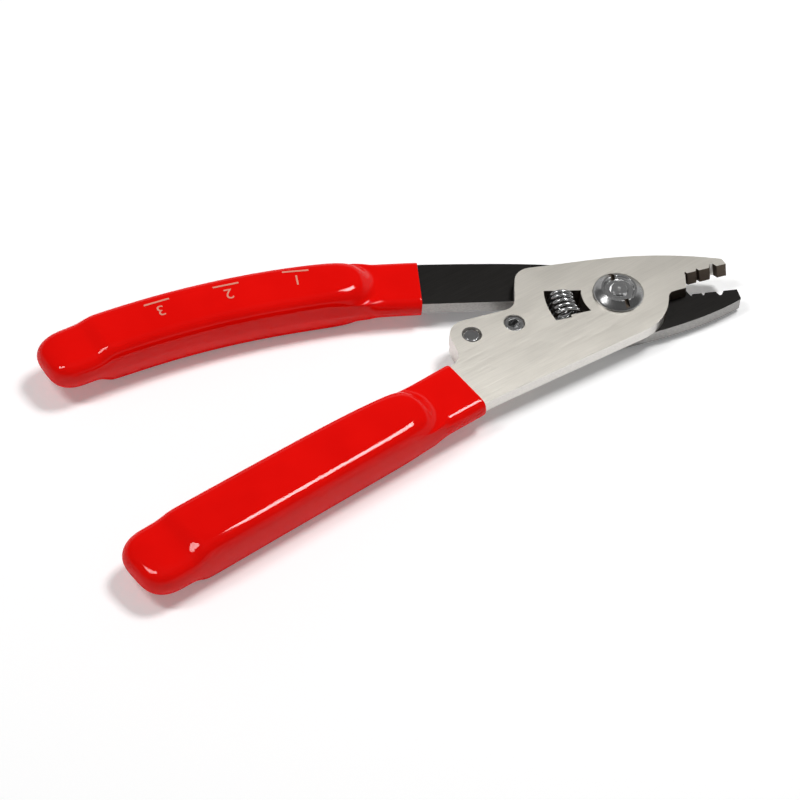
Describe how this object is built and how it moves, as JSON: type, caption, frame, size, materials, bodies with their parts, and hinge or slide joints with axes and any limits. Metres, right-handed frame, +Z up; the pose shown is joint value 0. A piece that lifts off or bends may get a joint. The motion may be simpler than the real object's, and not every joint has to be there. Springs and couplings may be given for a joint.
{
  "type": "fibre stripper",
  "caption": "Hand tool with bypass jaws notched to strip optical fibre, levers on a pivot nut, a captive return spring and dipped grips.",
  "frame": {"origin": "pivot axis, on the mating plane between the two lever plates", "axes": "+X from the pivot towards the jaw tips along the line on which the jaws close, +Y towards the rear lever's handle, +Z up through the front lever to the nut"},
  "size_m": [0.159, 0.0821, 0.0146],
  "materials": {
    "brushed_steel": "brushed stainless",
    "dark_steel": "dark oxide on the faces, brushed edges",
    "bright_steel": "turned and polished",
    "spring_steel": "bright drawn wire",
    "screw_steel": "dark plated",
    "red_pvc": "glossy dipped vinyl",
    "pad_plastic": "plain moulded filler"
  },
  "bodies": {
    "front": {"front_lever": "brushed_steel", "pivot_stud": "bright_steel", "pivot_nut": "bright_steel", "return_spring": "spring_steel", "stop_plate": "brushed_steel", "stop_pin": "screw_steel", "stop_screw": "screw_steel", "front_grip": "red_pvc", "front_upper_pad": "pad_plastic", "front_lower_pad": "pad_plastic"},
    "rear": {"rear_lever": "dark_steel", "rear_grip": "red_pvc", "rear_upper_pad": "pad_plastic", "rear_lower_pad": "pad_plastic"}
  },
  "joints": [
    {"name": "lever_pivot", "type": "hinge", "parent": "front", "child": "rear", "pos_m": [0, 0, 0], "axis": [0, 0, 1], "range_deg": [0, 12.4], "stiffness_Nm_per_rad": 4.4, "springref_deg": -3.44, "deforming": ["return_spring"]}
  ]
}
